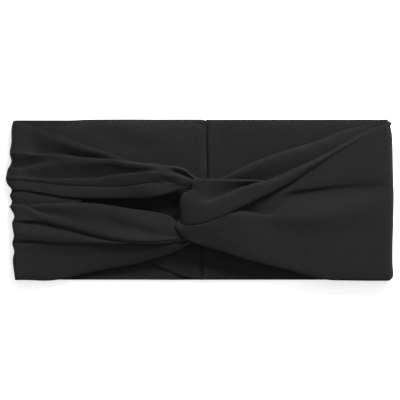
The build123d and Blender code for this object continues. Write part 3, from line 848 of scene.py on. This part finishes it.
class Finish:
    """A material's node tree, with one method that adds any node."""

    def __init__(self, name):
        self.material = bpy.data.materials.new(name)
        self.material.use_nodes = True
        self.tree = self.material.node_tree
        self.tree.nodes.clear()

    def node(self, kind, settings=None, inputs=None, output=0):
        node = self.tree.nodes.new(kind)
        for key, value in (settings or {}).items():
            setattr(node, key, value)
        for key, value in (inputs or {}).items():
            if isinstance(value, Wire):
                self.tree.links.new(value.socket, node.inputs[key])
            else:
                node.inputs[key].default_value = value
        return Wire(self.tree, node.outputs[output])

    def blend(self, factor, first, second):
        """A colour between first and second."""
        settings = {"data_type": "RGBA"}
        inputs = {0: factor, 6: first, 7: second}
        return self.node("ShaderNodeMix", settings, inputs, output=2)

    def surface(self, shader):
        last = self.tree.nodes.new("ShaderNodeOutputMaterial")
        self.tree.links.new(shader.socket, last.inputs["Surface"])
        return self.material


def shade(colour, share):
    """A colour made lighter or darker."""
    return (colour[0] * share, colour[1] * share, colour[2] * share, 1.0)


def jersey(settings):
    """Fine matt jersey: wales and courses in the tube's own directions, with a bloom of fuzz."""
    cloth = Finish("black_jersey")
    place = cloth.node("ShaderNodeUVMap", {"uv_map": "Knit"})
    along = cloth.node("ShaderNodeSeparateXYZ", None, {0: place})
    over = along.other_output(1)
    wobble = cloth.node(
        "ShaderNodeTexNoise", {"noise_dimensions": "2D"}, {"Vector": place, "Scale": 240.0})
    phase = over * (math.tau / settings.wale_pitch) + wobble * 1.6
    course = along * (math.tau / settings.course_pitch) + wobble * 1.2
    wale = phase.math("SINE")
    leg = (phase * 0.5).math("SINE").math("ABSOLUTE")
    loops = (course + leg * 2.4).math("SINE")
    knit = wale * 0.35 + loops * 0.35 + leg * 0.3
    body = cloth.node("ShaderNodeTexCoord", None, None, output=3)
    fuzz = cloth.node("ShaderNodeTexNoise", None, {"Vector": body, "Scale": 2600.0, "Detail": 2.0})
    heather = cloth.node("ShaderNodeTexNoise", None, {"Vector": body, "Scale": 900.0, "Detail": 3.0})
    pressed = cloth.node("ShaderNodeTexNoise", None, {"Vector": body, "Scale": 28.0, "Detail": 3.0})
    grain = (heather - 0.5) * 2.4 + knit * 0.16 + (fuzz - 0.5) * 0.9 + (pressed - 0.5) * 0.5 + 0.5
    share = grain.math("MINIMUM", 1.0).math("MAXIMUM", 0.0)
    colour = settings.jersey_colour
    base = cloth.blend(share, shade(colour, 0.72), shade(colour, 1.3))
    relief = knit * 0.5 + fuzz * 0.9
    bump = cloth.node("ShaderNodeBump", None, {
        "Strength": 0.45, "Distance": settings.knit_depth, "Height": relief})
    roughness = pressed * 0.16 + 0.76
    shader = cloth.node("ShaderNodeBsdfPrincipled", None, {
        "Base Color": base, "Roughness": roughness, "Normal": bump, "IOR": 1.35,
        "Specular IOR Level": 0.25, "Sheen Weight": settings.sheen, "Sheen Roughness": 0.55,
        "Sheen Tint": (0.85, 0.87, 0.92, 1.0)})
    return cloth.surface(shader)


def spun_thread(settings):
    """Spun polyester thread: plies wound round it, a touch glossier than the jersey."""
    thread = Finish("black_thread")
    body = thread.node("ShaderNodeTexCoord", None, None, output=3)
    plies = thread.node("ShaderNodeTexWave", {"bands_direction": "DIAGONAL"}, {
        "Vector": body, "Scale": 1400.0, "Distortion": 1.5, "Detail": 1.0}, output=1)
    colour = settings.jersey_colour
    base = thread.blend(plies, shade(colour, 0.6), shade(colour, 1.1))
    bump = thread.node(
        "ShaderNodeBump", None, {"Strength": 0.5, "Distance": 0.08 * MM, "Height": plies})
    shader = thread.node("ShaderNodeBsdfPrincipled", None, {
        "Base Color": base, "Roughness": plies * 0.1 + 0.55, "Normal": bump,
        "Specular IOR Level": 0.35})
    return thread.surface(shader)


def paper_white():
    """The pale surface that the band lies on."""
    paper = Finish("pale_floor")
    body = paper.node("ShaderNodeTexCoord", None, None, output=3)
    tooth = paper.node("ShaderNodeTexNoise", None, {"Vector": body, "Scale": 700.0})
    base = paper.blend(tooth, (0.88, 0.88, 0.88, 1.0), (0.92, 0.92, 0.92, 1.0))
    shader = paper.node("ShaderNodeBsdfPrincipled", None, {
        "Base Color": base, "Roughness": tooth * 0.1 + 0.85, "Specular IOR Level": 0.2,
        "Emission Color": (1.0, 1.0, 1.0, 1.0), "Emission Strength": 0.5})
    return paper.surface(shader)


def material_named(name, make, *arguments):
    """A finish that several pieces share, made the first time that it is asked for."""
    return bpy.data.materials.get(name) or make(*arguments)


class TwistHeadbandProperties(bpy.types.PropertyGroup):
    """Sizes, colours and lights of the headband."""

    jersey_colour: bpy.props.FloatVectorProperty(
        name="Jersey colour", description="Dyed colour of the jersey and its thread",
        subtype="COLOR", size=3, min=0.0, max=1.0, default=(0.0064, 0.0064, 0.0063))
    sheen: bpy.props.FloatProperty(
        name="Sheen", description="How much fuzz catches the light on the jersey's slopes",
        default=0.03, min=0.0, max=1.0, subtype="FACTOR")
    wale_pitch: bpy.props.FloatProperty(
        name="Wale pitch", description="Distance from one column of stitches to the next",
        default=0.42 * MM, min=0.1 * MM, max=3 * MM, precision=5, unit="LENGTH")
    course_pitch: bpy.props.FloatProperty(
        name="Course pitch", description="Distance from one row of stitches to the next",
        default=0.36 * MM, min=0.1 * MM, max=3 * MM, precision=5, unit="LENGTH")
    knit_depth: bpy.props.FloatProperty(
        name="Knit depth", description="Relief of the stitches", default=0.09 * MM,
        min=0.0, max=1 * MM, precision=5, unit="LENGTH")
    ripple_depth: bpy.props.FloatProperty(
        name="Ripple depth", description="Height of the small uneven ripples in the cloth",
        default=0.1 * MM, min=0.0, max=1 * MM, precision=5, unit="LENGTH")
    stitch_pitch: bpy.props.FloatProperty(
        name="Stitch pitch", description="Length of one stitch of the centre-back seam",
        default=2.6 * MM, min=1 * MM, max=6 * MM, precision=4, unit="LENGTH")
    camera_height: bpy.props.FloatProperty(
        name="Camera height", description="Height of the lens above the middle of the band",
        default=1.3675, min=0.3, max=4.0, unit="LENGTH")
    key_power: bpy.props.FloatProperty(
        name="Key light", description="Power of the large light beyond the forehead edge",
        default=26.6, min=0.0, max=400.0, unit="POWER")
    fill_strength: bpy.props.FloatProperty(
        name="Fill", description="Brightness of the pale surroundings",
        default=0.58, min=0.0, max=4.0)


def add_loop(name, rows, seed):
    """One looped tube: a sheet of two plies that stands for the CAD nodes of its name."""
    settings = bpy.context.scene.twist_headband
    rows = ruffle(soften(rows), settings.ripple_depth / MM, RIPPLE_LENGTHS, seed)
    piece = cloth_piece(name, rows, material_named("black_jersey", jersey, settings))
    nodes = [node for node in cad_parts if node.startswith(name) and "seam" not in node]
    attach(piece, BODY)
    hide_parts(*nodes)
    return piece


class HEADBAND_OT_left_loop(bpy.types.Operator):
    """Adds the left loop, gathered in pleats, with its bend inside the right loop"""

    bl_idname = "headband.left_loop"
    bl_label = "Left loop"

    def execute(self, context):
        piece = add_loop("left_loop", left_loop_rows(), seed=3.7)
        return {"FINISHED"}


class HEADBAND_OT_right_loop(bpy.types.Operator):
    """Adds the right loop, whose smooth front arm lies over the twist"""

    bl_idname = "headband.right_loop"
    bl_label = "Right loop"

    def execute(self, context):
        piece = add_loop("right_loop", right_loop_rows(), seed=11.3)
        return {"FINISHED"}


class HEADBAND_OT_seam_allowance(bpy.types.Operator):
    """Adds the centre-back seam's allowance, pressed to the left between the back tubes"""

    bl_idname = "headband.seam_allowance"
    bl_label = "Centre-back allowance"

    def execute(self, context):
        y = np.linspace(-SEAM_END_Y, SEAM_END_Y, 60)
        rows = []
        for out in np.linspace(*ALLOWANCE_X_FROM_SEAM, 10):
            rows.append(np.column_stack([seam_x(y) + out, y, np.full(len(y), ALLOWANCE_Z)]))
        cloth = material_named("black_jersey", jersey, context.scene.twist_headband)
        piece = cloth_piece("seam_allowance", np.array(rows), cloth)
        piece.modifiers["Two plies"].thickness = 0.65 * MM
        piece.modifiers["Folded edge"].width = 0.2 * MM
        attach(piece, BODY)
        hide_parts("centre_back_seam_allowance")
        return {"FINISHED"}


def add_stitch(mesh, place, size, turn=0.0, subdivisions=2):
    """One stitch: a long bead of thread, turned by some degrees in the plane of the cloth."""
    made = bmesh.ops.create_icosphere(mesh, subdivisions=subdivisions, radius=0.5)["verts"]
    bmesh.ops.scale(mesh, vec=size, verts=made)
    turned = Matrix.Rotation(math.radians(turn), 3, "Z")
    bmesh.ops.rotate(mesh, cent=(0, 0, 0), verts=made, matrix=turned)
    bmesh.ops.translate(mesh, vec=place, verts=made)


def add_stitching(name, node, mesh):
    """A finished run of stitches, in thread, that stands for a CAD node."""
    bmesh.ops.scale(mesh, vec=(MM, MM, MM), verts=mesh.verts)
    bmesh.ops.recalc_face_normals(mesh, faces=mesh.faces)
    for face in mesh.faces:
        face.smooth = True
    settings = bpy.context.scene.twist_headband
    piece = add_object(name, mesh, material_named("black_thread", spun_thread, settings))
    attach(piece, BODY)
    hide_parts(node)


class HEADBAND_OT_seam_stitches(bpy.types.Operator):
    """Adds the stitches of the centre-back seam, down in its groove"""

    bl_idname = "headband.seam_stitches"
    bl_label = "Centre-back stitches"

    def execute(self, context):
        pitch = context.scene.twist_headband.stitch_pitch / MM
        mesh = bmesh.new()
        for height in SEAM_STITCH_HEIGHTS:
            y = SEAM_STITCH_START_Y
            while y < SEAM_END_Y:
                place = (float(seam_x(np.array([y]))[0]), y, height)
                add_stitch(mesh, place, (THREAD, pitch * 1.04, THREAD), SEAM_STITCH_LEAN)
                y += pitch
        for out, y in TACKS:
            place = (float(seam_x(np.array([y]))[0]) + out, y, TACK_Z)
            add_stitch(mesh, place, (TACK_LENGTH, THREAD, THREAD))
        add_stitching("centre_back_stitches", "centre_back_seam_thread", mesh)
        return {"FINISHED"}


def add_closing_seam(name, node, start, end, line):
    """A row of overlock loops that lies along line, with a needle thread down its middle."""
    pitch = bpy.context.scene.twist_headband.stitch_pitch / MM * CLOSING_PITCH_SHARE
    places = np.arange(start, end, pitch)
    mesh = bmesh.new()
    for x, y in zip(places, line(places)):
        for offset, length, turn in (
            (0.0, pitch * 1.1, 0.0),
            (LOOPER_OFFSET, LOOPER_LENGTH, LOOPER_LEAN),
            (LOOPER_OFFSET, LOOPER_LENGTH, -LOOPER_LEAN),
        ):
            place = (x, y + offset, CLOSING_SEAM_Z)
            size = (length, OVERLOCK_THREAD, OVERLOCK_THREAD)
            add_stitch(mesh, place, size, turn, subdivisions=1)
    add_stitching(name, node, mesh)


class HEADBAND_OT_closing_seams(bpy.types.Operator):
    """Adds the two closing seams, each hidden between a loop's inner and outer back tubes"""

    bl_idname = "headband.closing_seams"
    bl_label = "Closing seams"

    def execute(self, context):
        above_edge = tuple((x, y + LEFT_CLOSING_ABOVE_EDGE) for x, y in INNER_HAIRLINE_EDGE)
        add_closing_seam(
            "left_closing_stitches", "left_loop_closing_seam", -102.0, -5.0, curved_edge(above_edge))
        add_closing_seam(
            "right_closing_stitches", "right_loop_closing_seam", 4.0, 108.0,
            straight_edge(RIGHT_CLOSING_Y))
        return {"FINISHED"}


def add_area_light(name, place, target, size, power):
    """A soft white rectangular studio light that points at target."""
    data = bpy.data.lights.new(name, "AREA")
    data.shape = "RECTANGLE"
    data.size, data.size_y = size
    data.energy = power
    light = bpy.data.objects.new(name, data)
    light.location = place
    light.rotation_euler = (Vector(target) - Vector(place)).to_track_quat("-Z", "Y").to_euler()
    bpy.context.scene.collection.objects.link(light)


class HEADBAND_OT_stage(bpy.types.Operator):
    """Adds the pale floor, the soft studio light and the camera straight above"""

    bl_idname = "headband.stage"
    bl_label = "Stage"

    def execute(self, context):
        scene = context.scene
        settings = scene.twist_headband
        mesh = bmesh.new()
        bmesh.ops.create_grid(mesh, x_segments=1, y_segments=1, size=FLOOR_HALF_WIDTH)
        bmesh.ops.translate(mesh, vec=(0, 0, CAD_LOW.z - FLOOR_GAP), verts=mesh.verts)
        floor = add_object("floor", mesh, material_named("pale_floor", paper_white))

        middle = ((CAD_LOW.x + CAD_HIGH.x) / 2, (CAD_LOW.y + CAD_HIGH.y) / 2, AIM_HEIGHT)
        add_area_light("key", KEY_LIGHT_PLACE, middle, KEY_LIGHT_SIZE, settings.key_power)

        world = bpy.data.worlds.new("surroundings")
        world.use_nodes = True
        background = world.node_tree.nodes["Background"]
        background.inputs["Color"].default_value = (1, 1, 1, 1)
        background.inputs["Strength"].default_value = settings.fill_strength
        scene.world = world

        lens = bpy.data.cameras.new("camera")
        lens.lens = 200.0
        lens.sensor_width = 36.0
        lens.clip_start = 0.05
        camera = bpy.data.objects.new("camera", lens)
        camera.location = (CAMERA_X, 0.0, AIM_HEIGHT + settings.camera_height)
        scene.collection.objects.link(camera)
        scene.camera = camera
        scene.view_settings.view_transform = "Standard"
        return {"FINISHED"}


class HEADBAND_PT_panel(bpy.types.Panel):
    """Lists the headband's pieces and settings"""

    bl_label = "Twist Headband"
    bl_space_type = "VIEW_3D"
    bl_region_type = "UI"
    bl_category = "Headband"

    def draw(self, context):
        for piece in PIECES:
            self.layout.operator(piece.bl_idname)
        settings = context.scene.twist_headband
        for name in TwistHeadbandProperties.__annotations__:
            self.layout.prop(settings, name)


PIECES = (
    HEADBAND_OT_seam_allowance,
    HEADBAND_OT_left_loop,
    HEADBAND_OT_right_loop,
    HEADBAND_OT_seam_stitches,
    HEADBAND_OT_closing_seams,
    HEADBAND_OT_stage,
)
CLASSES = (TwistHeadbandProperties,) + PIECES + (HEADBAND_PT_panel,)


def register():
    for item in CLASSES:
        bpy.utils.register_class(item)
    bpy.types.Scene.twist_headband = bpy.props.PointerProperty(type=TwistHeadbandProperties)


def unregister():
    del bpy.types.Scene.twist_headband
    for item in reversed(CLASSES):
        bpy.utils.unregister_class(item)


def main():
    """Builds the whole headband and its stage."""
    register()
    bpy.ops.headband.seam_allowance()
    bpy.ops.headband.left_loop()
    bpy.ops.headband.right_loop()
    bpy.ops.headband.seam_stitches()
    bpy.ops.headband.closing_seams()
    bpy.ops.headband.stage()


if __name__ == "__main__":
    main()
